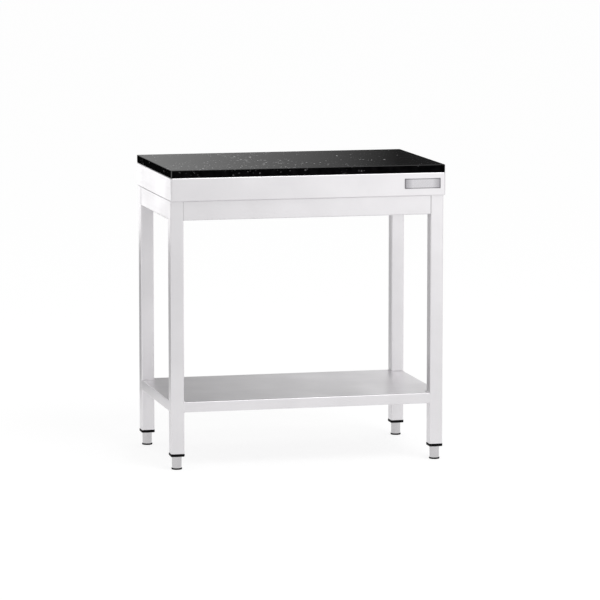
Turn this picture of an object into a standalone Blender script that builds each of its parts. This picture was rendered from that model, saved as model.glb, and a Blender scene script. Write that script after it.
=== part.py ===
"""Work table: a polished granite slab on a stainless steel tray, four square legs with rails,
a folded lower shelf and four screw feet.

Metres, +Z up. The origin lies on the floor under the middle of the table, and the front faces -Y.
"""

import math

import bmesh
import bpy
from mathutils import Matrix

# Overall sizes
WIDTH = 0.800
DEPTH = 0.500
HEIGHT = 0.855
SHEET = 0.0012
TOUCH_GAP = 0.0003

# Granite slab
SLAB_THICKNESS = 0.0215
SLAB_SETBACK = 0.001
SLAB_CORNER_RADIUS = 0.003
SLAB_EASED_EDGE = 0.0015

# Steel tray under the slab
APRON_HEIGHT = 0.0665
APRON_CORNER_RADIUS = 0.0055
TRAY_BEND_RADIUS = 0.003
TRAY_RETURN_LAP = 0.010

# Hat-shaped stiffeners under the tray
TRAY_HAT_CROWN = 0.050
TRAY_HAT_DEPTH = 0.030
TRAY_HAT_SPACING = 0.200
HAT_FLANGE = 0.020
HAT_END_GAP = 0.006

# Legs and rails
LEG_SIDE = 0.038
LEG_WALL = 0.0015
LEG_CORNER_RADIUS = 0.0035
LEG_SETBACK_SIDE = 0.0015
LEG_SETBACK_FRONT = 0.016
LEG_BOTTOM = 0.046
RAIL_HEIGHT = 0.055
RAIL_DEPTH = 0.026
RAIL_SETBACK = 0.001

# Lower shelf
SHELF_LEVEL = 0.1945
SHELF_RIM = 0.030
SHELF_RETURN = 0.014
SHELF_SETBACK = 0.0005
SHELF_NOTCH_GAP = 0.005
SHELF_LIP = 0.0025
SHELF_HAT_CROWN = 0.060
SHELF_HAT_DEPTH = 0.018

# Bends of the folded sheet pieces
FOLD_RADIUS = 0.0025
FOLD_STEPS = 3

# Screws that hold the tray down on the rails
SCREW_RADIUS = 0.00275
SCREW_HEAD_RADIUS = 0.0055
SCREW_HEAD_HEIGHT = 0.0035
SCREW_TIP_LENGTH = 0.008
SCREW_FROM_LEG = 0.1105
SCREW_HOLE_GAP = 0.0004

# Bare plate on the apron
PLATE_LENGTH = 0.106
PLATE_HEIGHT = 0.030
PLATE_THICKNESS = 0.001
PLATE_CORNER_RADIUS = 0.0015
PLATE_CHAMFER = 0.0004
PLATE_FROM_END = 0.015
PLATE_FROM_TOP = 0.016

# Screw feet
FOOT_TRAVEL = 0.024
FLANGE_LIP = 0.0008
FLANGE_THICKNESS = 0.008
FLANGE_EDGE = 0.0012
PLUG_LENGTH = 0.045
PLUG_FIN_COUNT = 3
PLUG_FIN_DEPTH = 0.0016
SPINDLE_RADIUS = 0.008
SPINDLE_CHAMFER = 0.0015
SPINDLE_CLEARANCE = 0.0004
THREAD_ENGAGEMENT = 0.036
SLEEVE_TOP_RADIUS = 0.0142
SLEEVE_FOOT_RADIUS = 0.0137
SLEEVE_WALL = 0.001
SLEEVE_EDGE = 0.0012
PAD_HEIGHT = 0.0045
PAD_EDGE = 0.0012
PAD_DISH_DEPTH = 0.0015
PAD_RIM_WALL = 0.0011
PAD_RIM_GAP = 0.0004
PIVOT_RADIUS = 0.006
PIVOT_HEIGHT = 0.006

# Facets of rounded outlines
CORNER_POINTS = 5
INSERT_CORNER_POINTS = 6
ROUND_POINTS = 32
SCREW_POINTS = 12
EDGE_STEPS = 2
LEAST_RADIUS = 0.0003
SMOOTH_ANGLE = math.radians(35)

# Levels worked out from the sizes above
TRAY_TOP = HEIGHT - SLAB_THICKNESS - TOUCH_GAP
TRAY_UNDERSIDE = TRAY_TOP - SHEET
APRON_BOTTOM = TRAY_TOP - APRON_HEIGHT
FRAME_TOP = APRON_BOTTOM - TOUCH_GAP
SHELF_UNDERSIDE = SHELF_LEVEL - SHEET
FLANGE_BOTTOM = LEG_BOTTOM - FLANGE_THICKNESS
SLEEVE_TOP = FLANGE_BOTTOM - TOUCH_GAP
PAD_FLOOR = PAD_HEIGHT - PAD_DISH_DEPTH
SLEEVE_FOOT = PAD_FLOOR + TOUCH_GAP

# The tray's return flange reaches past the line of screws along the front rail
SCREW_FROM_FACE = RAIL_SETBACK + RAIL_DEPTH / 2
TRAY_RETURN = LEG_SETBACK_FRONT + SCREW_FROM_FACE + TRAY_RETURN_LAP

# Outer faces and centre lines of the legs
LEG_FACE_X = WIDTH / 2 - LEG_SETBACK_SIDE
LEG_FACE_Y = DEPTH / 2 - LEG_SETBACK_FRONT
LEG_CENTRE_X = LEG_FACE_X - LEG_SIDE / 2
LEG_CENTRE_Y = LEG_FACE_Y - LEG_SIDE / 2

CORNERS = {
    "front_left": (-1, -1),
    "front_right": (1, -1),
    "rear_left": (-1, 1),
    "rear_right": (1, 1),
}
RAILS = ("front", "right", "rear", "left")


def clear_scene():
    for obj in list(bpy.data.objects):
        bpy.data.objects.remove(obj, do_unlink=True)


def material(name, colour, roughness, metallic):
    made = bpy.data.materials.new(name)
    made.use_nodes = True
    shader = made.node_tree.nodes["Principled BSDF"]
    shader.inputs["Base Color"].default_value = (*colour, 1.0)
    shader.inputs["Roughness"].default_value = roughness
    shader.inputs["Metallic"].default_value = metallic
    return made


def add_object(name, shape, finish, parent=None, place=(0.0, 0.0, 0.0), turn=0.0):
    """Turns a bmesh into a named object, turned about Z and set at a place under its parent."""
    mesh = bpy.data.meshes.new(name)
    shape.to_mesh(mesh)
    shape.free()
    mesh.materials.append(finish)
    mesh.shade_smooth()
    mesh.set_sharp_from_angle(angle=SMOOTH_ANGLE)
    obj = bpy.data.objects.new(name, mesh)
    obj.parent = parent
    obj.location = place
    obj.rotation_euler.z = turn
    bpy.context.scene.collection.objects.link(obj)
    return obj


def add_empty(name, place=(0.0, 0.0, 0.0), parent=None):
    empty = bpy.data.objects.new(name, None)
    empty.parent = parent
    empty.location = place
    bpy.context.scene.collection.objects.link(empty)
    return empty


def rectangle_ring(width, depth, radius, level, corner_points=CORNER_POINTS):
    """Points of a rectangle with round corners, anticlockwise from the +X side of its rear right corner."""
    radius = max(radius, LEAST_RADIUS)
    points = []
    for quarter in range(4):
        across = 1 if quarter in (0, 3) else -1
        along = 1 if quarter in (0, 1) else -1
        for step in range(corner_points):
            angle = math.pi / 2 * (quarter + step / (corner_points - 1))
            x = across * (width / 2 - radius) + radius * math.cos(angle)
            y = along * (depth / 2 - radius) + radius * math.sin(angle)
            points.append((x, y, level))
    return points


def round_ring(radius, level, count=ROUND_POINTS):
    turns = [2 * math.pi * step / count for step in range(count)]
    return [(radius * math.cos(turn), radius * math.sin(turn), level) for turn in turns]


def loft(rings, closed=False):
    """Joins rings of points in order; the ends are capped, or joined to each other when closed."""
    shape = bmesh.new()
    loops = [[shape.verts.new(point) for point in ring] for ring in rings]
    pairs = list(zip(loops, loops[1:]))
    if closed:
        pairs.append((loops[-1], loops[0]))
    else:
        shape.faces.new(loops[0])
        shape.faces.new(loops[-1])
    for lower, upper in pairs:
        for step in range(len(lower)):
            after = (step + 1) % len(lower)
            shape.faces.new((lower[step], lower[after], upper[after], upper[step]))
    bmesh.ops.recalc_face_normals(shape, faces=shape.faces)
    return shape


def arc(centre, radius, start, end, steps=FOLD_STEPS):
    """Points of a profile, as (reach, level), along an arc between two angles in degrees."""
    angles = [math.radians(start + (end - start) * step / steps) for step in range(steps + 1)]
    return [(centre[0] + radius * math.cos(a), centre[1] + radius * math.sin(a)) for a in angles]


def bent_strip(section, length):
    """An open surface along X whose section is a list of (y, z) points, bends still sharp."""
    shape = bmesh.new()
    ends = []
    for x in (-length / 2, length / 2):
        ends.append([shape.verts.new((x, y, z)) for y, z in section])
    left, right = ends
    for step in range(len(section) - 1):
        shape.faces.new((left[step], right[step], right[step + 1], left[step + 1]))
    return shape


def fold_sheet(obj):
    """Rounds the bends of an open surface and gives it the sheet's thickness on its back."""
    bends = obj.modifiers.new("bends", "BEVEL")
    bends.width = FOLD_RADIUS
    bends.segments = FOLD_STEPS
    bends.limit_method = "ANGLE"
    thickness = obj.modifiers.new("sheet", "SOLIDIFY")
    thickness.thickness = SHEET
    thickness.offset = -1
    thickness.use_even_offset = True


def drill(obj, places):
    """Cuts the holes of the tray's screws through an object, with a hidden cutter for each."""
    radius = SCREW_RADIUS + SCREW_HOLE_GAP
    for screw, (x, y) in places.items():
        shape = loft([round_ring(radius, side * SCREW_TIP_LENGTH, SCREW_POINTS) for side in (-1, 1)])
        mesh = bpy.data.meshes.new(f"{obj.name}_hole_{screw}")
        shape.to_mesh(mesh)
        shape.free()
        cutter = bpy.data.objects.new(mesh.name, mesh)
        cutter.location = (x, y, FRAME_TOP)
        cutter.hide_render = True
        cutter.display_type = "WIRE"
        bpy.context.scene.collection.objects.link(cutter)
        hole = obj.modifiers.new(mesh.name, "BOOLEAN")
        hole.operation = "DIFFERENCE"
        hole.object = cutter


def build_slab(table, stone):
    width = WIDTH - 2 * SLAB_SETBACK
    depth = DEPTH - 2 * SLAB_SETBACK
    lower = HEIGHT - SLAB_THICKNESS
    profile = [(SLAB_EASED_EDGE, lower)]
    profile += arc((SLAB_EASED_EDGE, lower + SLAB_EASED_EDGE), SLAB_EASED_EDGE, 270, 180)[1:]
    profile += arc((SLAB_EASED_EDGE, HEIGHT - SLAB_EASED_EDGE), SLAB_EASED_EDGE, 180, 90)
    rings = []
    for inset, level in profile:
        radius = SLAB_CORNER_RADIUS - inset
        rings.append(rectangle_ring(width - 2 * inset, depth - 2 * inset, radius, level))
    add_object("granite_slab", loft(rings), stone, table)


def screw_places(rail):
    """Names and places, at the top of the frame, of the screws through one rail."""
    long_rail_y = LEG_FACE_Y - SCREW_FROM_FACE
    side_rail_x = LEG_FACE_X - SCREW_FROM_FACE
    half = LEG_FACE_X - LEG_SIDE - SCREW_FROM_LEG
    return {
        "front": {"front_left": (-half, -long_rail_y), "front_right": (half, -long_rail_y)},
        "right": {"right_side": (side_rail_x, 0.0)},
        "rear": {"rear_left": (-half, long_rail_y), "rear_right": (half, long_rail_y)},
        "left": {"left_side": (-side_rail_x, 0.0)},
    }[rail]


def build_tray(table, steel):
    """A pan with its mouth down: top sheet, aprons with round corners and a return flange all round."""
    outer = TRAY_BEND_RADIUS
    inner = TRAY_BEND_RADIUS - SHEET
    upper_bend = (outer, TRAY_TOP - outer)
    lower_bend = (outer, APRON_BOTTOM + outer)
    profile = arc(upper_bend, outer, 90, 180) + arc(lower_bend, outer, 180, 270)
    profile += [(TRAY_RETURN, APRON_BOTTOM), (TRAY_RETURN, APRON_BOTTOM + SHEET)]
    profile += arc(lower_bend, inner, 270, 180) + arc(upper_bend, inner, 180, 90)
    rings = []
    for inset, level in profile:
        radius = APRON_CORNER_RADIUS - inset
        rings.append(rectangle_ring(WIDTH - 2 * inset, DEPTH - 2 * inset, radius, level))
    tray = add_object("top_tray", loft(rings), steel, table)
    for rail in RAILS:
        drill(tray, screw_places(rail))


def hat_section(crown, depth):
    """Section of a hat stiffener: two flanges at level 0 and a crown below them."""
    half = crown / 2
    return [
        (-half - HAT_FLANGE, 0.0),
        (-half, 0.0),
        (-half, -depth),
        (half, -depth),
        (half, 0.0),
        (half + HAT_FLANGE, 0.0),
    ]


def build_tray_stiffeners(table, steel):
    length = WIDTH - 2 * (TRAY_RETURN + HAT_END_GAP)
    level = TRAY_UNDERSIDE - TOUCH_GAP
    for name, side in (("front", -1), ("rear", 1)):
        section = hat_section(TRAY_HAT_CROWN, TRAY_HAT_DEPTH)
        place = (0.0, side * TRAY_HAT_SPACING / 2, level)
        fold_sheet(add_object(f"top_stiffener_{name}", bent_strip(section, length), steel, table, place))


def build_legs(table, steel):
    inside = LEG_SIDE - 2 * LEG_WALL
    inside_radius = LEG_CORNER_RADIUS - LEG_WALL
    for name, (across, along) in CORNERS.items():
        rings = [
            rectangle_ring(LEG_SIDE, LEG_SIDE, LEG_CORNER_RADIUS, LEG_BOTTOM),
            rectangle_ring(LEG_SIDE, LEG_SIDE, LEG_CORNER_RADIUS, FRAME_TOP),
            rectangle_ring(inside, inside, inside_radius, FRAME_TOP),
            rectangle_ring(inside, inside, inside_radius, LEG_BOTTOM),
        ]
        place = (across * LEG_CENTRE_X, along * LEG_CENTRE_Y, 0.0)
        add_object(f"leg_{name}", loft(rings, closed=True), steel, table, place)


def build_rails(table, steel):
    """Channels between the legs, open inwards, with the tray screwed to their upper flanges."""
    section = [(RAIL_DEPTH, 0.0), (0.0, 0.0), (0.0, RAIL_HEIGHT), (RAIL_DEPTH, RAIL_HEIGHT)]
    long_length = 2 * (LEG_FACE_X - LEG_SIDE - TOUCH_GAP)
    side_length = 2 * (LEG_FACE_Y - LEG_SIDE - TOUCH_GAP)
    face_x = LEG_FACE_X - RAIL_SETBACK
    face_y = LEG_FACE_Y - RAIL_SETBACK
    level = FRAME_TOP - RAIL_HEIGHT
    rails = {
        "front": (long_length, (0.0, -face_y, level), 0.0),
        "right": (side_length, (face_x, 0.0, level), math.pi / 2),
        "rear": (long_length, (0.0, face_y, level), math.pi),
        "left": (side_length, (-face_x, 0.0, level), -math.pi / 2),
    }
    for name, (length, place, turn) in rails.items():
        rail = add_object(f"{name}_rail", bent_strip(section, length), steel, table, place, turn)
        fold_sheet(rail)
        drill(rail, screw_places(name))


def build_screws(table, steel):
    """Pan head screws, heads up against the rails' upper flanges, tips inside the tray."""
    head_top = -SHEET - TOUCH_GAP
    head_bottom = head_top - SCREW_HEAD_HEIGHT
    crown = SCREW_HEAD_HEIGHT / 2
    rings = [
        round_ring(SCREW_HEAD_RADIUS - crown, head_bottom, SCREW_POINTS),
        round_ring(SCREW_HEAD_RADIUS, head_bottom + crown, SCREW_POINTS),
        round_ring(SCREW_HEAD_RADIUS, head_top, SCREW_POINTS),
        round_ring(SCREW_RADIUS, head_top, SCREW_POINTS),
        round_ring(SCREW_RADIUS, SCREW_TIP_LENGTH - SCREW_RADIUS / 2, SCREW_POINTS),
        round_ring(SCREW_RADIUS / 2, SCREW_TIP_LENGTH, SCREW_POINTS),
    ]
    for rail in RAILS:
        for name, (x, y) in screw_places(rail).items():
            add_object(f"top_screw_{name}", loft(rings), steel, table, (x, y, FRAME_TOP))


def build_shelf(table, steel):
    """A folded pan with its mouth down and a hem turned in under each rim.

    The rims butt against the legs, and behind a lip at each rim the deck is notched clear of them.
    """
    half_x = LEG_FACE_X - SHELF_SETBACK
    half_y = LEG_FACE_Y - SHELF_SETBACK
    rim_x = LEG_FACE_X - LEG_SIDE - TOUCH_GAP
    rim_y = LEG_FACE_Y - LEG_SIDE - TOUCH_GAP
    notch_x = LEG_FACE_X - LEG_SIDE - SHELF_NOTCH_GAP
    notch_y = LEG_FACE_Y - LEG_SIDE - SHELF_NOTCH_GAP
    lip_x = half_x - FOLD_RADIUS - SHELF_LIP
    lip_y = half_y - FOLD_RADIUS - SHELF_LIP
    cut = [(half_x, rim_y), (lip_x, rim_y), (lip_x, notch_y), (notch_x, notch_y)]
    cut += [(notch_x, lip_y), (rim_x, lip_y), (rim_x, half_y)]
    shape = bmesh.new()
    corner = {}
    outline = []
    for across, along in ((1, 1), (-1, 1), (-1, -1), (1, -1)):
        points = [shape.verts.new((across * x, along * y, SHELF_LEVEL)) for x, y in cut]
        corner[across, along] = points
        outline += points if across == along else reversed(points)
    shape.faces.new(outline)
    sides = {
        (1, 0): (corner[1, -1][0], corner[1, 1][0]),
        (0, 1): (corner[1, 1][-1], corner[-1, 1][-1]),
        (-1, 0): (corner[-1, 1][0], corner[-1, -1][0]),
        (0, -1): (corner[-1, -1][-1], corner[1, -1][-1]),
    }
    for (across, along), (first, second) in sides.items():
        for move in ((0.0, 0.0, -SHELF_RIM), (-across * SHELF_RETURN, -along * SHELF_RETURN, 0.0)):
            lower = [shape.verts.new(vert.co) for vert in (first, second)]
            bmesh.ops.translate(shape, vec=move, verts=lower)
            shape.faces.new((second, first, *lower))
            first, second = lower
    fold_sheet(add_object("lower_shelf", shape, steel, table))
    length = 2 * (half_x - SHELF_RETURN - HAT_END_GAP)
    section = hat_section(SHELF_HAT_CROWN, SHELF_HAT_DEPTH)
    place = (0.0, 0.0, SHELF_UNDERSIDE - TOUCH_GAP)
    fold_sheet(add_object("shelf_stiffener", bent_strip(section, length), steel, table, place))


def build_plate(table, steel):
    """A bare plate on the front of the apron, near its right end."""
    face = TOUCH_GAP + PLATE_THICKNESS
    rings = []
    for inset, level in ((0.0, TOUCH_GAP), (0.0, face - PLATE_CHAMFER), (PLATE_CHAMFER, face)):
        length = PLATE_LENGTH - 2 * inset
        height = PLATE_HEIGHT - 2 * inset
        rings.append(rectangle_ring(length, height, PLATE_CORNER_RADIUS - inset, level))
    shape = loft(rings)
    bmesh.ops.rotate(shape, cent=(0, 0, 0), matrix=Matrix.Rotation(math.pi / 2, 3, "X"), verts=shape.verts)
    x = WIDTH / 2 - PLATE_FROM_END - PLATE_LENGTH / 2
    z = TRAY_TOP - PLATE_FROM_TOP - PLATE_HEIGHT / 2
    add_object("name_plate", shape, steel, table, (x, -DEPTH / 2, z))


def square_ring(side, radius, level):
    return rectangle_ring(side, side, radius, level, INSERT_CORNER_POINTS)


def insert_rings():
    """Square plug with fins and a flange, round a bore for the spindle, as one closed loop of rings."""
    flange = LEG_SIDE + 2 * FLANGE_LIP
    flange_radius = LEG_CORNER_RADIUS + FLANGE_LIP
    flange_top = LEG_BOTTOM - TOUCH_GAP
    plug = LEG_SIDE - 2 * LEG_WALL - 2 * TOUCH_GAP
    plug_radius = LEG_CORNER_RADIUS - LEG_WALL - TOUCH_GAP
    core = plug - 2 * PLUG_FIN_DEPTH
    core_radius = plug_radius - PLUG_FIN_DEPTH
    bore = SPINDLE_RADIUS + SPINDLE_CLEARANCE
    rings = [
        square_ring(flange - 2 * FLANGE_EDGE, flange_radius - FLANGE_EDGE, FLANGE_BOTTOM),
        square_ring(flange, flange_radius, FLANGE_BOTTOM + FLANGE_EDGE),
        square_ring(flange, flange_radius, flange_top),
    ]
    half_pitch = PLUG_LENGTH / (2 * PLUG_FIN_COUNT)
    level = flange_top
    for _ in range(PLUG_FIN_COUNT):
        rings.append(square_ring(core, core_radius, level))
        level += half_pitch
        rings.append(square_ring(core, core_radius, level))
        rings.append(square_ring(plug, plug_radius, level))
        level += half_pitch
        rings.append(square_ring(plug, plug_radius, level))
    count = 4 * INSERT_CORNER_POINTS
    rings += [round_ring(bore, level, count), round_ring(bore, FLANGE_BOTTOM, count)]
    return rings


def sleeve_radius(level):
    """Outer radius of the tapered sleeve at a level."""
    share = (level - SLEEVE_FOOT) / (SLEEVE_TOP - SLEEVE_FOOT)
    return SLEEVE_FOOT_RADIUS + share * (SLEEVE_TOP_RADIUS - SLEEVE_FOOT_RADIUS)


def sleeve_rings():
    """Steel cup over the spindle's body, mouth down, with a hole in its top for the spindle."""
    hole = SPINDLE_RADIUS + SPINDLE_CLEARANCE
    edge_level = SLEEVE_TOP - SLEEVE_EDGE
    edge_centre = (sleeve_radius(edge_level) - SLEEVE_EDGE, edge_level)
    inside_top = SLEEVE_TOP - SLEEVE_WALL
    profile = [(sleeve_radius(SLEEVE_FOOT), SLEEVE_FOOT)]
    profile += arc(edge_centre, SLEEVE_EDGE, 0, 90, EDGE_STEPS)
    profile += [(hole, SLEEVE_TOP), (hole, inside_top)]
    for level in (inside_top, SLEEVE_FOOT):
        profile.append((sleeve_radius(level) - SLEEVE_WALL, level))
    return [round_ring(radius, level) for radius, level in profile]


def spindle_rings():
    """Body inside the sleeve, stem up into the plug, and a socket below for the pad's pivot."""
    body_top = SLEEVE_TOP - SLEEVE_WALL - TOUCH_GAP
    stem_top = FLANGE_BOTTOM + FOOT_TRAVEL + THREAD_ENGAGEMENT
    socket = PIVOT_RADIUS + TOUCH_GAP
    inset = SLEEVE_WALL + TOUCH_GAP
    return [
        round_ring(socket, SLEEVE_FOOT + PIVOT_HEIGHT),
        round_ring(socket, SLEEVE_FOOT),
        round_ring(sleeve_radius(SLEEVE_FOOT) - inset, SLEEVE_FOOT),
        round_ring(sleeve_radius(body_top) - inset, body_top),
        round_ring(SPINDLE_RADIUS, body_top),
        round_ring(SPINDLE_RADIUS, stem_top - SPINDLE_CHAMFER),
        round_ring(SPINDLE_RADIUS - SPINDLE_CHAMFER, stem_top),
    ]


def pad_rings():
    """Round pad, dished for the sleeve's lower end, with a pivot stud that the spindle turns on."""
    inside = sleeve_radius(PAD_HEIGHT) + PAD_RIM_GAP
    outside = inside + PAD_RIM_WALL
    edge = min(PAD_EDGE, PAD_HEIGHT / 3)
    round_off = PAD_RIM_WALL / 2
    profile = arc((outside - edge, edge), edge, -90, 0, EDGE_STEPS)
    profile += arc((outside - round_off, PAD_HEIGHT - round_off), round_off, 0, 180, 2 * EDGE_STEPS)
    profile += [(inside, PAD_FLOOR), (PIVOT_RADIUS, PAD_FLOOR), (PIVOT_RADIUS, PAD_FLOOR + PIVOT_HEIGHT)]
    return [round_ring(radius, level) for radius, level in profile]


def build_feet(table, steel, plastic):
    """One foot under each leg; its empty stands on the axis that the foot turns and rises on."""
    for name, (across, along) in CORNERS.items():
        axis = add_empty(f"foot_axis_{name}", (across * LEG_CENTRE_X, along * LEG_CENTRE_Y, 0.0), table)
        add_object(f"foot_insert_{name}", loft(insert_rings(), closed=True), plastic, axis)
        add_object(f"foot_sleeve_{name}", loft(sleeve_rings(), closed=True), steel, axis)
        add_object(f"foot_spindle_{name}", loft(spindle_rings()), plastic, axis)
        add_object(f"foot_pad_{name}", loft(pad_rings()), plastic, axis)


def main():
    clear_scene()
    stone = material("polished_granite", (0.012, 0.012, 0.014), 0.08, 0.0)
    steel = material("satin_steel", (0.74, 0.74, 0.75), 0.32, 1.0)
    polished = material("polished_steel", (0.72, 0.72, 0.73), 0.16, 1.0)
    plastic = material("black_plastic", (0.012, 0.012, 0.013), 0.45, 0.0)
    table = add_empty("work_table")
    build_slab(table, stone)
    build_tray(table, steel)
    build_tray_stiffeners(table, steel)
    build_legs(table, steel)
    build_rails(table, steel)
    build_screws(table, polished)
    build_shelf(table, steel)
    build_plate(table, polished)
    build_feet(table, polished, plastic)


main()
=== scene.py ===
"""Looks of the granite top work table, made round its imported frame.

Metres, +Z up. The origin is on the floor under the middle of the table, and the front faces -Y.
"""

import math

import bmesh
import bpy
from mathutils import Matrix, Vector


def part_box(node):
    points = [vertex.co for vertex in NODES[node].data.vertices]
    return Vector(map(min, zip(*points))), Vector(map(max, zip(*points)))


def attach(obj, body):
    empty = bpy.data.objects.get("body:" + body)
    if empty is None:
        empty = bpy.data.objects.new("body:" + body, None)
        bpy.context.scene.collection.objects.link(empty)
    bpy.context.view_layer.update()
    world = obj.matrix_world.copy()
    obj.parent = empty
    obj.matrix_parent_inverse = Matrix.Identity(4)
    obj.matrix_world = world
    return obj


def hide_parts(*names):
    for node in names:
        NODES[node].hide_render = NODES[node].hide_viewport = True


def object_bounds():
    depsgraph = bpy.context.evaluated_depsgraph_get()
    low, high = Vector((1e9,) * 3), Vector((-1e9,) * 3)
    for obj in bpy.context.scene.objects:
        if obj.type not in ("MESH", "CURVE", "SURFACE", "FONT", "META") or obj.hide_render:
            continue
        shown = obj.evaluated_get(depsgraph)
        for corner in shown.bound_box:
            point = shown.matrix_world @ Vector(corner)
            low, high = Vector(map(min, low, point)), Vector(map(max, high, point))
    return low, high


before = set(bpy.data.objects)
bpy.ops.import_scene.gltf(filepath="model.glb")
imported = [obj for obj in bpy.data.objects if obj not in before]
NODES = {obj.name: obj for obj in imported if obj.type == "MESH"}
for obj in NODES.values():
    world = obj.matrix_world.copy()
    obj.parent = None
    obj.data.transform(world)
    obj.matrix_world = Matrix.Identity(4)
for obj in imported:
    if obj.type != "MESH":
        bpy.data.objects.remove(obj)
CAD_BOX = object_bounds()
CORNERS = ("front_left", "front_right", "rear_left", "rear_right")
SCREWS = [name for name in NODES if name.startswith("top_screw_")]

# Camera, fitted to the photograph
CAMERA_PLACE = (-2.5084, -10.5299, 1.8750)
CAMERA_YAW = math.radians(13.567)
CAMERA_PITCH = math.radians(7.524)
CAMERA_LENS = 225.49
CAMERA_SENSOR = 36.0
CAMERA_REACH = 100.0

# Light
WHITE = (1.0, 1.0, 1.0, 1.0)
WORLD_FILL = 0.72
FLOOR_SIZE = 60.0
FLOOR_DROP = 0.0004
FLOOR_COLOUR = (0.86, 0.86, 0.86, 1.0)
FLOOR_SHOWN_COLOUR = (0.26, 0.26, 0.26, 1.0)
FLOOR_SHOWN_GLOW = 0.80
KEY_PLACE = (1.1, -2.8, 4.1)
KEY_SIZE = 2.4
KEY_POWER = 58.0

# Corners in plan of the backdrops, which stand well clear of the table
LEFT_WALL_START = (-1.90, -1.20)
FRONT_WALL_START = (-1.40, -1.20)
FRONT_RIGHT_CORNER = (1.80, -1.20)
REAR_LEFT_CORNER = (-1.90, 1.20)
REAR_WALL_MIDDLE = (-0.45, 1.20)
REAR_LOW_END = (1.60, 1.20)
REAR_RIGHT_CORNER = (1.80, 1.20)

# Backdrops that steel and stone mirror: two ends in plan, levels, tones at both ends of a ramp along X
BACKDROP_RAMP = (-0.25, 0.65)
UPPER_LEVELS = (0.87, 1.80)
BACKDROPS = {
    "front_high_backdrop": (FRONT_WALL_START, FRONT_RIGHT_CORNER, (0.62, 1.30), (0.98, 1.28)),
    "front_middle_backdrop": (FRONT_WALL_START, FRONT_RIGHT_CORNER, (0.30, 0.62), (0.82, 1.16)),
    "front_low_backdrop": (FRONT_WALL_START, FRONT_RIGHT_CORNER, (0.0, 0.30), (0.97, 0.97)),
    "rear_low_backdrop": (REAR_WALL_MIDDLE, REAR_LOW_END, (0.0, 0.85), (0.36, 1.05)),
    "rear_high_backdrop": (REAR_LEFT_CORNER, REAR_RIGHT_CORNER, UPPER_LEVELS, (0.385, 0.025)),
    "left_low_backdrop": (REAR_LEFT_CORNER, REAR_WALL_MIDDLE, (0.0, 0.50), (0.45, 0.45)),
    "left_middle_backdrop": (REAR_LEFT_CORNER, REAR_WALL_MIDDLE, (0.50, 0.87), (1.50, 1.50)),
    "left_end_backdrop": (LEFT_WALL_START, REAR_LEFT_CORNER, UPPER_LEVELS, (0.385, 0.385)),
    "right_end_backdrop": (FRONT_RIGHT_CORNER, REAR_RIGHT_CORNER, UPPER_LEVELS, (0.10, 0.10)),
}

# Ranges that noise and masks are mapped from or to
WHOLE = (0.0, 1.0)
NOISE_SPAN = (0.3, 0.7)

# Steel
STEEL_COLOUR = (0.762, 0.748, 0.764)
STEEL_ROUGHNESS = 0.36
GRAIN_LENGTH = 0.160
GRAIN_WIDTH = 0.0006
GRAIN_STRENGTH = 0.05
GRAIN_ROUGHNESS = 0.05
GRAIN_DETAIL = 3.0
END_FACE = 0.7
SMUDGE_SIZE = 0.120
SMUDGE_DULL = 0.955
SMUDGE_ROUGHNESS = 0.03
SMUDGE_SPAN = (0.35, 0.65)
SMUDGE_DETAIL = 4.0
BUMP_HEIGHT = 0.0002
BRIGHT_COLOUR = (0.56, 0.55, 0.56)
BRIGHT_ROUGHNESS = 0.18
PLATE_COLOUR = (0.57, 0.56, 0.58)
# Painted shade at the plate's ends: darker reflections there, painted into the colour
PLATE_END_SHADE_COLOUR = (0.30, 0.29, 0.31, 1.0)
PLATE_END_SHADE_SPAN = (0.55, 1.0)
PLATE_ROUGHNESS = 0.28
WELD_COLOUR = (0.26, 0.25, 0.26)
# Darker steel of the rails' seams: painted shade of the joint lines at the legs
SEAM_SHADE_COLOUR = (0.52, 0.51, 0.52)
WELD_ROUGHNESS = 0.45
SHEET = 0.0012

# Stone
STONE_DARK = (0.0012, 0.0012, 0.0013, 1.0)
STONE_LIGHT = (0.0048, 0.0046, 0.0050, 1.0)
CLOUD_SIZE = 0.018
CLOUD_SPAN = (0.35, 0.7)
CLOUD_DETAIL = 6.0
POLISHED_ROUGHNESS = 0.07
POLISHED_SHINE = 0.35
CORNER_SHINE = 1.0
HONED_ROUGHNESS = 0.55
POLISHED_CHIP = (0.80, 0.79, 0.80, 1.0)
HONED_CHIP = (0.110, 0.107, 0.110, 1.0)
HONED_CHIP_SHARE = 1.2
CHIP_ROUGHNESS = 0.1
CHIP_DIMMEST = 0.20
CHIP_WARP = 0.2
CHIP_WARP_RATE = 2
CHIP_WARP_DETAIL = 2.0
CHIP_STRETCH = (1.0, 1.7, 1.0)
CHIPS = ((0.0056, 0.016), (0.0038, 0.014), (0.0020, 0.010))
DRIFT_SIZE = 0.16
DRIFT_CENTRE = -0.19
DRIFT_SPAN = (0.10, 0.38)
DRIFT_LEVELS = (0.38, 0.62)
DRIFT_EDGE = 0.10
DRIFT_THINNEST = 0.06
DRIFT_DETAIL = 2.0
SLAB_CORNER_RADIUS = 0.003
SLAB_EASED_EDGE = 0.0015
SLAB_FLAT = 0.97
SLAB_UPRIGHT = 0.1
EDGE_STEPS = 5
FACE, ARRIS, SIDE, CORNER = range(4)

# Plate: a bare field inside a sunk line
PLATE_CORNER_RADIUS = 0.0015
PLATE_CHAMFER = 0.0004
PLATE_BORDER = 0.0010
PLATE_GROOVE = 0.0013
PLATE_RECESS = 0.0003
PLATE_LINE_COLOUR = (0.030, 0.030, 0.032)
ENAMEL_PATCH = 0.0014
ENAMEL_LIGHTER = 1.8
ENAMEL_DETAIL = 2.0
ENAMEL_ROUGHNESS = (0.35, 0.5)

# Screws of the tray
SCREW_POINTS = 24
SCREW_CROWN = 0.0018
SCREW_CROWN_STEPS = 4
SCREW_HEAD_HEIGHT = 0.0035
SCREW_RADIUS = 0.00275
SCREW_SOCKET_RADIUS = 0.0023
SCREW_SOCKET_DEPTH = 0.0018

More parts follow.
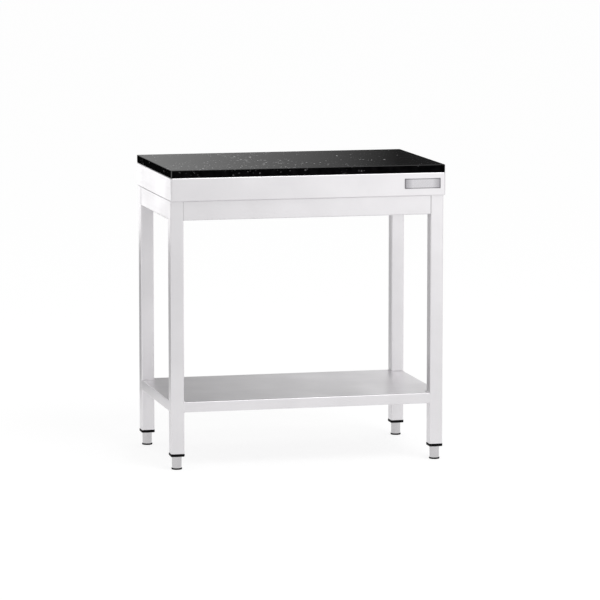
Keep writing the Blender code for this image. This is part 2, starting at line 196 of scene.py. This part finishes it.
# Spindles of the feet
SPINDLE_POINTS = 28
SPINDLE_RADIUS = 0.008
SPINDLE_CHAMFER = 0.0015
SPINDLE_BODY_GAP = 0.0004
SPINDLE_SOCKET_RADIUS = 0.0063
SPINDLE_SOCKET_DEPTH = 0.006
SLEEVE_WALL = 0.001
TOUCH_GAP = 0.0003
THREAD_PITCH = 0.004
THREAD_DEPTH = 0.0009
THREAD_ROWS = 8
THREAD_CREST = 0.25
THREAD_FLANK = 0.25

# Welds and ground seams
WELD_RADIUS = 0.0017
SEAM_DEPTH = 0.0012
LEG_CORNER_RADIUS = 0.0035
WELD_RIPPLE = 0.0026
WELD_RIPPLE_DEPTH = 0.12
WELD_ROWS = 4
WELD_END = 0.2
WELD_POINTS = 10

# Plastic
PLASTIC_COLOUR = (0.0030, 0.0030, 0.0033)
PLASTIC_ROUGHNESS = 0.55
PLASTIC_SHINE = 0.05
PLASTIC_GRAIN = 0.00055
PLASTIC_GRAIN_STRENGTH = 0.25
PLASTIC_GRAIN_DETAIL = 2.0
PLASTIC_PATCH = 0.011
PLASTIC_PATCH_DETAIL = 3.0
PLASTIC_SCUFF_SPAN = (0.45, 0.75)
PLASTIC_LIGHTER = 2.2
PLASTIC_WEAR = 0.07

# Smoothing of solids and pieces
MERGE_DISTANCE = 0.00001
SMOOTH_ANGLE = math.radians(35)
FLAT_FACE_WEIGHT = 100
CORNER_POINTS = 7


def find_socket(sockets, name):
    """The socket of that name which the node's settings leave in use."""
    return next(socket for socket in sockets if socket.name == name and socket.enabled)


def add_node(tree, kind, values=None, **settings):
    """Adds a node; a value that is a socket is linked, and any other is set."""
    node = tree.nodes.new(kind)
    for name, value in settings.items():
        setattr(node, name, value)
    for name, value in (values or {}).items():
        socket = node.inputs[name] if isinstance(name, int) else find_socket(node.inputs, name)
        if isinstance(value, bpy.types.NodeSocket):
            tree.links.new(value, socket)
        else:
            socket.default_value = value
    return node


def new_material(name):
    """A new material, its node tree and its Principled shader."""
    material = bpy.data.materials.new(name)
    material.use_nodes = True
    return material, material.node_tree, material.node_tree.nodes["Principled BSDF"]


def object_place(tree):
    return add_node(tree, "ShaderNodeTexCoord").outputs["Object"]


def noise(tree, place, scale, detail, stretch=(1.0, 1.0, 1.0)):
    """Noise from 0 to 1 whose features are about 1 / scale long, before the stretch."""
    stretched = add_node(tree, "ShaderNodeMapping", {"Vector": place, "Scale": stretch})
    values = {"Vector": stretched.outputs["Vector"], "Scale": scale, "Detail": detail}
    return add_node(tree, "ShaderNodeTexNoise", values).outputs["Fac"]


def remap(tree, value, source, target):
    """Maps a value from one range to another and stops it at the ends."""
    values = {"Value": value, "From Min": source[0], "From Max": source[1]}
    values.update({"To Min": target[0], "To Max": target[1]})
    return add_node(tree, "ShaderNodeMapRange", values).outputs["Result"]


def calculate(tree, operation, first, second):
    return add_node(tree, "ShaderNodeMath", {0: first, 1: second}, operation=operation).outputs["Value"]


def mix_colours(tree, share, first, second):
    values = {"Factor": share, "A": first, "B": second}
    node = add_node(tree, "ShaderNodeMix", values, data_type="RGBA")
    return find_socket(node.outputs, "Result")


def add_bump(tree, shader, height, strength):
    values = {"Height": height, "Strength": strength, "Distance": BUMP_HEIGHT}
    tree.links.new(add_node(tree, "ShaderNodeBump", values).outputs["Normal"], shader.inputs["Normal"])


def grain_along_length(tree, place):
    """Coordinates whose first runs along the sheet: along X, or along Y on the faces at the ends."""
    normal = add_node(tree, "ShaderNodeNewGeometry").outputs["Normal"]
    sideways = add_node(tree, "ShaderNodeSeparateXYZ", {"Vector": normal}).outputs["X"]
    at_end = calculate(tree, "GREATER_THAN", calculate(tree, "ABSOLUTE", sideways, 0.0), END_FACE)
    parts = add_node(tree, "ShaderNodeSeparateXYZ", {"Vector": place}).outputs
    turned = add_node(tree, "ShaderNodeCombineXYZ", {"X": parts["Y"], "Y": parts["X"], "Z": parts["Z"]})
    values = {"Factor": at_end, "A": place, "B": turned.outputs["Vector"]}
    return find_socket(add_node(tree, "ShaderNodeMix", values, data_type="VECTOR").outputs, "Result")


def grain_along_height(tree, place):
    """Coordinates whose first runs along Z."""
    parts = add_node(tree, "ShaderNodeSeparateXYZ", {"Vector": place}).outputs
    turned = add_node(tree, "ShaderNodeCombineXYZ", {"X": parts["Z"], "Y": parts["X"], "Z": parts["Y"]})
    return turned.outputs["Vector"]


def brushed_metal(name, colour, roughness, grain):
    """Metal with fine brushed lines along its grain and faint cloudy smudges."""
    material, tree, shader = new_material(name)
    place = object_place(tree)
    along = grain(tree, place)
    lines = noise(tree, along, 1.0, GRAIN_DETAIL, (1 / GRAIN_LENGTH, 1 / GRAIN_WIDTH, 1 / GRAIN_WIDTH))
    smudges = noise(tree, place, 1 / SMUDGE_SIZE, SMUDGE_DETAIL)
    dull = [SMUDGE_DULL * value for value in colour] + [1.0]
    tone = mix_colours(tree, remap(tree, smudges, SMUDGE_SPAN, WHOLE), dull, (*colour, 1.0))
    line_dull = remap(tree, lines, NOISE_SPAN, (-GRAIN_ROUGHNESS, GRAIN_ROUGHNESS))
    smudge_span = (roughness + SMUDGE_ROUGHNESS, roughness - SMUDGE_ROUGHNESS)
    smudge_dull = remap(tree, smudges, NOISE_SPAN, smudge_span)
    tree.links.new(tone, shader.inputs["Base Color"])
    tree.links.new(calculate(tree, "ADD", line_dull, smudge_dull), shader.inputs["Roughness"])
    shader.inputs["Metallic"].default_value = 1.0
    add_bump(tree, shader, lines, GRAIN_STRENGTH)
    return material


def plate_metal(name):
    """Brushed metal with painted shade towards the plate's ends, standing for darker reflections there."""
    material = brushed_metal(name, PLATE_COLOUR, PLATE_ROUGHNESS, grain_along_length)
    tree = material.node_tree
    tone_socket = tree.nodes["Principled BSDF"].inputs["Base Color"]
    low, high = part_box("name_plate")
    sideways = add_node(tree, "ShaderNodeSeparateXYZ", {"Vector": object_place(tree)}).outputs["X"]
    offset = calculate(tree, "SUBTRACT", sideways, (low.x + high.x) / 2)
    share = calculate(tree, "DIVIDE", calculate(tree, "ABSOLUTE", offset, 0.0), (high.x - low.x) / 2)
    # Painted shade: the colour darkens towards both ends of the plate
    painted_end_shade = remap(tree, share, PLATE_END_SHADE_SPAN, WHOLE)
    tree.links.new(mix_colours(tree, painted_end_shade, tone_socket.links[0].from_socket, PLATE_END_SHADE_COLOUR), tone_socket)
    return material


def chip_mask(tree, place, size, share, drifts):
    """Angular chips of about one size: the few warped cells that chance picks, with unlike tones."""
    squeezed = [1 / factor for factor in CHIP_STRETCH]
    place = add_node(tree, "ShaderNodeMapping", {"Vector": place, "Scale": squeezed}).outputs["Vector"]
    values = {"Vector": place, "Scale": CHIP_WARP_RATE / size, "Detail": CHIP_WARP_DETAIL}
    warp = add_node(tree, "ShaderNodeTexNoise", values)
    values = {0: warp.outputs["Color"], 1: [CHIP_WARP * size] * 3, 2: place}
    warped = add_node(tree, "ShaderNodeVectorMath", values, operation="MULTIPLY_ADD").outputs["Vector"]
    cells = add_node(tree, "ShaderNodeTexVoronoi", {"Vector": warped, "Scale": 1 / size})
    chances = add_node(tree, "ShaderNodeSeparateColor", {"Color": cells.outputs["Color"]}).outputs
    picked = calculate(tree, "LESS_THAN", chances["Red"], calculate(tree, "MULTIPLY", drifts, share))
    tone = remap(tree, chances["Green"], WHOLE, (CHIP_DIMMEST, 1.0))
    return calculate(tree, "MULTIPLY", picked, tone)


def drift_mask(tree, place):
    """Where the chips gather: cloudy patches, most of them left of the middle."""
    sideways = add_node(tree, "ShaderNodeSeparateXYZ", {"Vector": place}).outputs["X"]
    offset = calculate(tree, "SUBTRACT", sideways, DRIFT_CENTRE)
    threshold = remap(tree, calculate(tree, "ABSOLUTE", offset, 0.0), DRIFT_SPAN, DRIFT_LEVELS)
    above = calculate(tree, "SUBTRACT", noise(tree, place, 1 / DRIFT_SIZE, DRIFT_DETAIL), threshold)
    return remap(tree, above, (0.0, DRIFT_EDGE), (DRIFT_THINNEST, 1.0))


def granite(name, roughness, shine, chip_colour, chip_share):
    """Black stone with cloudy crystals and dull pale chips that gather in drifts."""
    material, tree, shader = new_material(name)
    place = object_place(tree)
    clouds = noise(tree, place, 1 / CLOUD_SIZE, CLOUD_DETAIL)
    ground = mix_colours(tree, remap(tree, clouds, CLOUD_SPAN, WHOLE), STONE_DARK, STONE_LIGHT)
    drifts = drift_mask(tree, place)
    chips = 0.0
    for size, share in CHIPS:
        chips = calculate(tree, "MAXIMUM", chip_mask(tree, place, size, chip_share * share, drifts), chips)
    dulled = remap(tree, chips, WHOLE, (roughness, roughness + CHIP_ROUGHNESS))
    tree.links.new(mix_colours(tree, chips, ground, chip_colour), shader.inputs["Base Color"])
    tree.links.new(dulled, shader.inputs["Roughness"])
    if shine:
        glossy = remap(tree, chips, WHOLE, (shine, 0.0))
        tree.links.new(glossy, shader.inputs["Specular IOR Level"])
    else:
        shader.inputs["Specular IOR Level"].default_value = 0.0
    return material


def moulded_plastic(name):
    """Black plastic with a fine moulded grain."""
    material, tree, shader = new_material(name)
    place = object_place(tree)
    grain = noise(tree, place, 1 / PLASTIC_GRAIN, PLASTIC_GRAIN_DETAIL)
    worn = noise(tree, place, 1 / PLASTIC_PATCH, PLASTIC_PATCH_DETAIL)
    scuffed = [PLASTIC_LIGHTER * value for value in PLASTIC_COLOUR] + [1.0]
    scuffs = remap(tree, worn, PLASTIC_SCUFF_SPAN, WHOLE)
    tone = mix_colours(tree, scuffs, (*PLASTIC_COLOUR, 1.0), scuffed)
    wear_span = (PLASTIC_ROUGHNESS - PLASTIC_WEAR, PLASTIC_ROUGHNESS + PLASTIC_WEAR)
    dulled = remap(tree, worn, NOISE_SPAN, wear_span)
    tree.links.new(tone, shader.inputs["Base Color"])
    tree.links.new(dulled, shader.inputs["Roughness"])
    shader.inputs["Specular IOR Level"].default_value = PLASTIC_SHINE
    add_bump(tree, shader, grain, PLASTIC_GRAIN_STRENGTH)
    return material


def enamel(name):
    """Dark enamel in the plate's line, slightly uneven."""
    material, tree, shader = new_material(name)
    uneven = noise(tree, object_place(tree), 1 / ENAMEL_PATCH, ENAMEL_DETAIL)
    lighter = [ENAMEL_LIGHTER * value for value in PLATE_LINE_COLOUR] + [1.0]
    tone = mix_colours(tree, uneven, (*PLATE_LINE_COLOUR, 1.0), lighter)
    tree.links.new(tone, shader.inputs["Base Color"])
    tree.links.new(remap(tree, uneven, NOISE_SPAN, ENAMEL_ROUGHNESS), shader.inputs["Roughness"])
    return material


def smoothing_group():
    """Geometry nodes that join a solid's loose triangles and smooth them up to a sharp angle."""
    group = bpy.data.node_groups.new("smooth_solid", "GeometryNodeTree")
    group.interface.new_socket("Geometry", in_out="INPUT", socket_type="NodeSocketGeometry")
    group.interface.new_socket("Geometry", in_out="OUTPUT", socket_type="NodeSocketGeometry")
    source = add_node(group, "NodeGroupInput").outputs[0]
    bare = add_node(group, "GeometryNodeRemoveAttribute", {"Geometry": source, "Name": "custom_normal"})
    values = {"Geometry": bare.outputs["Geometry"], "Distance": MERGE_DISTANCE}
    joined = add_node(group, "GeometryNodeMergeByDistance", values)
    values = {"Geometry": joined.outputs["Geometry"], "Shade Smooth": True}
    smooth = add_node(group, "GeometryNodeSetShadeSmooth", values, domain="FACE")
    angle = add_node(group, "GeometryNodeInputMeshEdgeAngle").outputs["Unsigned Angle"]
    values = {"A": angle, "B": SMOOTH_ANGLE}
    sharp = add_node(group, "FunctionNodeCompare", values, data_type="FLOAT", operation="GREATER_THAN")
    values = {"Geometry": smooth.outputs["Geometry"], "Selection": sharp.outputs["Result"]}
    values["Shade Smooth"] = False
    creased = add_node(group, "GeometryNodeSetShadeSmooth", values, domain="EDGE")
    add_node(group, "NodeGroupOutput", {0: creased.outputs["Geometry"]})
    return group


def shade_flat_faces(obj):
    """Keeps large faces flat where they run into rounded edges."""
    weighted = obj.modifiers.new("flat faces", "WEIGHTED_NORMAL")
    weighted.weight = FLAT_FACE_WEIGHT
    weighted.keep_sharp = True


def smooth_solid(obj, group):
    joined = obj.modifiers.new("smooth solid", "NODES")
    joined.node_group = group
    shade_flat_faces(obj)


def loft(rings):
    """Joins rings of points in order and caps both ends."""
    shape = bmesh.new()
    loops = [[shape.verts.new(point) for point in ring] for ring in rings]
    shape.faces.new(loops[0])
    shape.faces.new(loops[-1])
    for lower, upper in zip(loops, loops[1:]):
        for step in range(len(lower)):
            after = (step + 1) % len(lower)
            shape.faces.new((lower[step], lower[after], upper[after], upper[step]))
    bmesh.ops.recalc_face_normals(shape, faces=shape.faces)
    return shape


def add_piece(name, shape, finishes, body="table", stands_for=()):
    """Turns a bmesh into a piece that rides on a body and may stand for nodes of the frame."""
    mesh = bpy.data.meshes.new(name)
    shape.to_mesh(mesh)
    shape.free()
    for finish in finishes:
        mesh.materials.append(finish)
    mesh.shade_smooth()
    mesh.set_sharp_from_angle(angle=SMOOTH_ANGLE)
    piece = bpy.data.objects.new(name, mesh)
    bpy.context.scene.collection.objects.link(piece)
    shade_flat_faces(piece)
    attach(piece, body)
    if stands_for:
        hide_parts(*stands_for)


def rectangle_ring(low, high, radius, level):
    """Points at one level round a rectangle with round corners, anticlockwise."""
    points = []
    for quarter in range(4):
        centre_x = high[0] - radius if quarter in (0, 3) else low[0] + radius
        centre_y = high[1] - radius if quarter in (0, 1) else low[1] + radius
        for step in range(CORNER_POINTS):
            angle = math.pi / 2 * (quarter + step / (CORNER_POINTS - 1))
            points.append((centre_x + radius * math.cos(angle), centre_y + radius * math.sin(angle), level))
    return points


def build_slab(face_finish, arris_finish, side_finish, corner_finish):
    """The stone slab: polished face, arrises and upright corners, honed sides and underside."""
    low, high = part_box("granite_slab")
    rings = []
    for side in (0, 1):
        for step in range(EDGE_STEPS + 1):
            share = step / EDGE_STEPS
            turn = math.pi / 2 * (share if side == 0 else 1 - share)
            inset = SLAB_EASED_EDGE * (1 - math.sin(turn))
            rise = SLAB_EASED_EDGE * (1 - math.cos(turn))
            level = low.z + rise if side == 0 else high.z - rise
            corner = [(low.x + inset, low.y + inset), (high.x - inset, high.y - inset)]
            rings.append(rectangle_ring(*corner, SLAB_CORNER_RADIUS - inset, level))
    slab = loft(rings)
    for face in slab.faces:
        if face.normal.z > SLAB_FLAT:
            face.material_index = FACE
        elif max(abs(face.normal.x), abs(face.normal.y)) > SLAB_FLAT or face.normal.z < 0:
            face.material_index = SIDE
        elif abs(face.normal.z) < SLAB_UPRIGHT:
            face.material_index = CORNER
        else:
            face.material_index = ARRIS
    finishes = (face_finish, arris_finish, side_finish, corner_finish)
    add_piece("stone_top", slab, finishes, stands_for=("granite_slab",))


def round_ring(centre, radius, level, count):
    turns = [2 * math.pi * step / count for step in range(count)]
    return [(centre.x + radius * math.cos(t), centre.y + radius * math.sin(t), level) for t in turns]


def hexagon_ring(centre, radius, level, count):
    """Points round a hexagon whose corners lie at the radius; count is a multiple of 6."""
    points = []
    for step in range(count):
        turn = 2 * math.pi * step / count
        reach = radius * math.cos(math.pi / 6) / math.cos(turn % (math.pi / 3) - math.pi / 6)
        points.append((centre.x + reach * math.cos(turn), centre.y + reach * math.sin(turn), level))
    return points


def build_screws(steel):
    """Button head screws with a hexagon socket, driven from below."""
    for node in SCREWS:
        low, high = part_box(node)
        centre = (low + high) / 2
        head = (high.x - low.x) / 2
        rings = [
            hexagon_ring(centre, SCREW_SOCKET_RADIUS, low.z + SCREW_SOCKET_DEPTH, SCREW_POINTS),
            hexagon_ring(centre, SCREW_SOCKET_RADIUS, low.z, SCREW_POINTS),
        ]
        for step in range(SCREW_CROWN_STEPS + 1):
            turn = math.pi / 2 * step / SCREW_CROWN_STEPS
            radius = head - SCREW_CROWN * (1 - math.sin(turn))
            level = low.z + SCREW_CROWN * (1 - math.cos(turn))
            rings.append(round_ring(centre, radius, level, SCREW_POINTS))
        for radius, level in (
            (head, low.z + SCREW_HEAD_HEIGHT),
            (SCREW_RADIUS, low.z + SCREW_HEAD_HEIGHT),
            (SCREW_RADIUS, high.z - SCREW_RADIUS / 2),
            (SCREW_RADIUS / 2, high.z),
        ):
            rings.append(round_ring(centre, radius, level, SCREW_POINTS))
        add_piece(node.replace("top_screw", "socket_screw"), loft(rings), (steel,),
                  stands_for=(node,))


def thread_ring(centre, level, bottom, top):
    """One ring of a screw thread, which starts and ends smoothly."""
    fade = max(0.0, min(1.0, (level - bottom) / THREAD_PITCH, (top - level) / THREAD_PITCH))
    points = []
    for step in range(SPINDLE_POINTS):
        share = step / SPINDLE_POINTS
        phase = (level / THREAD_PITCH - share) % 1.0
        from_root = THREAD_CREST / 2 + THREAD_FLANK - abs(phase - 0.5)
        flank = min(1.0, max(0.0, from_root / THREAD_FLANK))
        radius = SPINDLE_RADIUS - THREAD_DEPTH * (1 - flank * fade)
        turn = 2 * math.pi * share
        points.append((centre.x + radius * math.cos(turn), centre.y + radius * math.sin(turn), level))
    return points


def build_spindles(plastic):
    """The screw of each foot: a body inside the sleeve and a threaded stem up into the leg's plug."""
    for corner in CORNERS:
        low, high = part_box(f"foot_spindle_{corner}")
        sleeve_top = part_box(f"foot_sleeve_{corner}")[1].z
        centre = (low + high) / 2
        body = (high.x - low.x) / 2 - SPINDLE_BODY_GAP
        body_top = sleeve_top - SLEEVE_WALL - TOUCH_GAP
        stem_top = high.z - SPINDLE_CHAMFER
        core = SPINDLE_RADIUS - THREAD_DEPTH
        rings = [
            round_ring(centre, SPINDLE_SOCKET_RADIUS, low.z + SPINDLE_SOCKET_DEPTH, SPINDLE_POINTS),
            round_ring(centre, SPINDLE_SOCKET_RADIUS, low.z, SPINDLE_POINTS),
            round_ring(centre, body, low.z, SPINDLE_POINTS),
            round_ring(centre, body, body_top, SPINDLE_POINTS),
            round_ring(centre, core, body_top, SPINDLE_POINTS),
        ]
        rows = int((stem_top - body_top) / THREAD_PITCH * THREAD_ROWS)
        for row in range(1, rows):
            level = body_top + row * THREAD_PITCH / THREAD_ROWS
            rings.append(thread_ring(centre, level, body_top, stem_top))
        rings.append(round_ring(centre, core, stem_top, SPINDLE_POINTS))
        rings.append(round_ring(centre, core - SPINDLE_CHAMFER, high.z, SPINDLE_POINTS))
        add_piece(f"threaded_spindle_{corner}", loft(rings), (plastic,),
                  body=f"spindle_{corner}", stands_for=(f"foot_spindle_{corner}",))


def build_plate(metal, paint):
    """The bare plate on the apron, with a dark line sunk along its edge."""
    low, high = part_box("name_plate")
    outer = PLATE_CHAMFER + PLATE_BORDER
    inner = outer + PLATE_GROOVE
    sunk = low.y + PLATE_RECESS
    profile = (
        (0.0, high.y),
        (0.0, low.y + PLATE_CHAMFER),
        (PLATE_CHAMFER, low.y),
        (outer, low.y),
        (outer + PLATE_RECESS, sunk),
        (inner - PLATE_RECESS, sunk),
        (inner, low.y),
    )
    rings = []
    for inset, depth in profile:
        corner = [(low.x + inset, low.z + inset), (high.x - inset, high.z - inset)]
        ring = rectangle_ring(*corner, max(PLATE_CORNER_RADIUS - inset, PLATE_CHAMFER), depth)
        rings.append([(x, y, z) for x, z, y in ring])
    plate = loft(rings)
    margin = PLATE_RECESS / 4
    for face in plate.faces:
        centre = face.calc_center_median()
        in_line = low.y + margin < centre.y < sunk + margin
        edge = min(centre.x - low.x, high.x - centre.x, centre.z - low.z, high.z - centre.z)
        face.material_index = 1 if in_line and edge > outer else 0
    add_piece("bare_plate", plate, (metal, paint), stands_for=("name_plate",))


def bead_rings(place, radius, bottom, top):
    """Rings of one upright weld bead, rippled, with round ends."""
    rings = []
    rows = round((top - bottom) / WELD_RIPPLE * WELD_ROWS)
    for row in range(rows + 1):
        share = row / rows
        level = bottom + (top - bottom) * share
        ripple = 1 - WELD_RIPPLE_DEPTH * abs(math.sin(math.pi * row / WELD_ROWS))
        end = min(1.0, (level - bottom) / radius, (top - level) / radius)
        reach = radius * ripple * max(WELD_END, math.sqrt(1 - (1 - end) ** 2))
        rings.append(round_ring(place, reach, level, WELD_POINTS))
    return rings


def join_shapes(shapes):
    joined = bmesh.new()
    for shape in shapes:
        mesh = bpy.data.meshes.new("joined")
        shape.to_mesh(mesh)
        shape.free()
        joined.from_mesh(mesh)
        bpy.data.meshes.remove(mesh)
    return joined


def leg_sides(corner):
    """Signs of a leg's corner across and along the table, and the leg's inner and outer faces."""
    low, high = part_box(f"leg_{corner}")
    across = -1 if corner.endswith("left") else 1
    along = -1 if corner.startswith("front") else 1
    inner = (high.x if across < 0 else low.x, high.y if along < 0 else low.y)
    outer = (low.x if across < 0 else high.x, low.y if along < 0 else high.y)
    return across, along, inner, outer


def build_welds(name, faces, levels, steel):
    """Two upright beads at each leg, behind the faces of the sheets that meet it along X and along Y."""
    depth = SHEET + WELD_RADIUS / 2
    for corner in CORNERS:
        across, along, inner, _ = leg_sides(corner)
        places = (
            Vector((inner[0], along * (faces[1] - depth), 0.0)),
            Vector((across * (faces[0] - depth), inner[1], 0.0)),
        )
        beads = [loft(bead_rings(place, WELD_RADIUS, *levels)) for place in places]
        add_piece(f"{name}_{corner}", join_shapes(beads), (steel,))


def build_seams(name, faces, levels, steel):
    """Seams ground flush: they fill the grooves between the sheets' ends and the leg's round corners."""
    for corner in CORNERS:
        across, along, inner, outer = leg_sides(corner)
        end_x = inner[0] - across * TOUCH_GAP
        end_y = inner[1] - along * TOUCH_GAP
        flat_x = inner[0] + across * LEG_CORNER_RADIUS
        flat_y = inner[1] + along * LEG_CORNER_RADIUS
        face_x = across * faces[0]
        face_y = along * faces[1]
        plans = (
            ((end_x, face_y), (flat_x, outer[1])),
            ((face_x, end_y), (outer[0], flat_y)),
        )
        inwards = ((0.0, -along * SEAM_DEPTH), (-across * SEAM_DEPTH, 0.0))
        prisms = []
        for (start, end), (back_x, back_y) in zip(plans, inwards):
            plan = [start, end, (end[0] + back_x, end[1] + back_y), (start[0] + back_x, start[1] + back_y)]
            prisms.append(loft([[(x, y, level) for x, y in plan] for level in levels]))
        add_piece(f"{name}_{corner}", join_shapes(prisms), (steel,))


def build_frame_welds(weld, rail_shade_seam, shelf_seam):
    """Welds of the rails and of the shelf's rims on their hidden sides, and their seams outside; the rails'
    seams are darker steel, painted shade of the joint lines at the legs.
    """
    front_low, front_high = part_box("front_rail")
    side_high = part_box("right_rail")[1]
    shelf_low, shelf_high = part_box("lower_shelf")
    rail_levels = (front_low.z + 2 * SHEET, front_high.z - 2 * SHEET)
    shelf_levels = (shelf_low.z + 2 * SHEET, shelf_high.z - 2 * SHEET)
    rail_faces = (side_high.x, -front_low.y)
    shelf_faces = (shelf_high.x, shelf_high.y)
    build_welds("rail_weld", rail_faces, rail_levels, weld)
    build_welds("shelf_weld", shelf_faces, shelf_levels, weld)
    build_seams("rail_shade_seam", rail_faces, rail_levels, rail_shade_seam)
    build_seams("shelf_seam", shelf_faces, shelf_levels, shelf_seam)


def backdrop_glow(name, tones):
    """A glow that goes from one tone to another along X."""
    material, tree, shader = new_material(name)
    tree.nodes.remove(shader)
    sideways = add_node(tree, "ShaderNodeSeparateXYZ", {"Vector": object_place(tree)}).outputs["X"]
    glow = remap(tree, sideways, BACKDROP_RAMP, tones)
    emission = add_node(tree, "ShaderNodeEmission", {"Strength": glow})
    tree.links.new(emission.outputs["Emission"], tree.nodes["Material Output"].inputs["Surface"])
    return material


def build_backdrops():
    """Upright walls of the studio, which only reflections see."""
    for name, (start, end, (low, high), tones) in BACKDROPS.items():
        corners = ((*start, low), (*end, low), (*end, high), (*start, high))
        mesh = bpy.data.meshes.new(name)
        mesh.from_pydata(corners, [], [range(len(corners))])
        mesh.materials.append(backdrop_glow(name, tones))
        backdrop = bpy.data.objects.new(name, mesh)
        bpy.context.scene.collection.objects.link(backdrop)
        for ray in ("camera", "diffuse", "transmission", "volume_scatter", "shadow"):
            setattr(backdrop, f"visible_{ray}", False)


def seen_directly(tree):
    """1 for rays that show the background as it is: from the camera, in gloss and through glass."""
    rays = add_node(tree, "ShaderNodeLightPath").outputs
    either = calculate(tree, "MAXIMUM", rays["Is Camera Ray"], rays["Is Glossy Ray"])
    return calculate(tree, "MAXIMUM", either, rays["Is Transmission Ray"])


def build_world():
    world = bpy.data.worlds.new("studio")
    bpy.context.scene.world = world
    world.use_nodes = True
    tree = world.node_tree
    fill = tree.nodes["Background"]
    fill.inputs["Color"].default_value = WHITE
    fill.inputs["Strength"].default_value = WORLD_FILL
    white = add_node(tree, "ShaderNodeBackground", {"Color": WHITE, "Strength": 1.0})
    values = {0: seen_directly(tree), 1: fill.outputs["Background"], 2: white.outputs["Background"]}
    mixed = add_node(tree, "ShaderNodeMixShader", values)
    tree.links.new(mixed.outputs["Shader"], tree.nodes["World Output"].inputs["Surface"])


def build_floor():
    """A pale floor that shows white, with the table's faint shadow on it."""
    shape = bmesh.new()
    bmesh.ops.create_grid(shape, x_segments=1, y_segments=1, size=FLOOR_SIZE / 2)
    mesh = bpy.data.meshes.new("floor")
    shape.to_mesh(mesh)
    shape.free()
    material, tree, shader = new_material("floor")
    tree.nodes.remove(shader)
    lit = add_node(tree, "ShaderNodeBsdfDiffuse", {"Color": FLOOR_COLOUR})
    shown = add_node(tree, "ShaderNodeBsdfDiffuse", {"Color": FLOOR_SHOWN_COLOUR})
    glow = add_node(tree, "ShaderNodeEmission", {"Strength": FLOOR_SHOWN_GLOW})
    white = add_node(tree, "ShaderNodeAddShader", {0: shown.outputs["BSDF"], 1: glow.outputs["Emission"]})
    values = {0: seen_directly(tree), 1: lit.outputs["BSDF"], 2: white.outputs["Shader"]}
    mixed = add_node(tree, "ShaderNodeMixShader", values)
    tree.links.new(mixed.outputs["Shader"], tree.nodes["Material Output"].inputs["Surface"])
    mesh.materials.append(material)
    floor = bpy.data.objects.new("floor", mesh)
    floor.location.z = -FLOOR_DROP
    bpy.context.scene.collection.objects.link(floor)


def build_key_light():
    """One large soft lamp above the front right."""
    data = bpy.data.lights.new("key", "AREA")
    data.shape = "DISK"
    data.size = KEY_SIZE
    data.energy = KEY_POWER
    lamp = bpy.data.objects.new("key", data)
    lamp.location = KEY_PLACE
    towards = Vector((0.0, 0.0, CAD_BOX[1][2] / 2)) - Vector(KEY_PLACE)
    lamp.rotation_euler = towards.to_track_quat("-Z", "Y").to_euler()
    bpy.context.scene.collection.objects.link(lamp)


def build_camera():
    data = bpy.data.cameras.new("camera")
    data.sensor_width = CAMERA_SENSOR
    data.lens = CAMERA_LENS
    data.clip_end = CAMERA_REACH
    camera = bpy.data.objects.new("camera", data)
    camera.location = CAMERA_PLACE
    camera.rotation_euler = (math.pi / 2 - CAMERA_PITCH, 0.0, -CAMERA_YAW)
    bpy.context.scene.collection.objects.link(camera)
    bpy.context.scene.camera = camera


def build_stage():
    build_world()
    build_floor()
    build_key_light()
    build_camera()
    build_backdrops()


def finish_nodes(finishes):
    """Gives each solid of the frame its smoothing and its finish."""
    group = smoothing_group()
    for name, node in NODES.items():
        smooth_solid(node, group)
        slot = node.material_slots[0].material.name.split(".")[0]
        node.material_slots[0].material = finishes["tube" if name.startswith("leg_") else slot]


def main():
    bpy.context.scene.view_settings.view_transform = "Standard"
    build_stage()
    arris = granite("granite_arris", POLISHED_ROUGHNESS, POLISHED_SHINE, HONED_CHIP, 1.0)
    upright = granite("granite_corner", POLISHED_ROUGHNESS, CORNER_SHINE, HONED_CHIP, 1.0)
    honed = granite("honed_granite", HONED_ROUGHNESS, 0.0, HONED_CHIP, HONED_CHIP_SHARE)
    finishes = {
        "granite": granite("polished_granite", POLISHED_ROUGHNESS, POLISHED_SHINE, POLISHED_CHIP, 1.0),
        "satin_steel": brushed_metal("sheet_steel", STEEL_COLOUR, STEEL_ROUGHNESS, grain_along_length),
        "tube": brushed_metal("tube_steel", STEEL_COLOUR, STEEL_ROUGHNESS, grain_along_height),
        "polished_steel": brushed_metal("bright_steel", BRIGHT_COLOUR, BRIGHT_ROUGHNESS, grain_along_height),
        "plate_metal": plate_metal("plate_metal"),
        "black_plastic": moulded_plastic("moulded_plastic"),
    }
    finish_nodes(finishes)
    build_slab(finishes["granite"], arris, honed, upright)
    build_plate(finishes["plate_metal"], enamel("plate_enamel"))
    build_screws(finishes["polished_steel"])
    build_spindles(finishes["black_plastic"])
    weld = brushed_metal("weld_steel", WELD_COLOUR, WELD_ROUGHNESS, grain_along_height)
    # The rails' seams in darker steel: painted shade of the joint lines at the legs
    painted_shade_seam = brushed_metal("seam_shade_steel", SEAM_SHADE_COLOUR, WELD_ROUGHNESS, grain_along_height)
    build_frame_welds(weld, painted_shade_seam, finishes["tube"])


main()
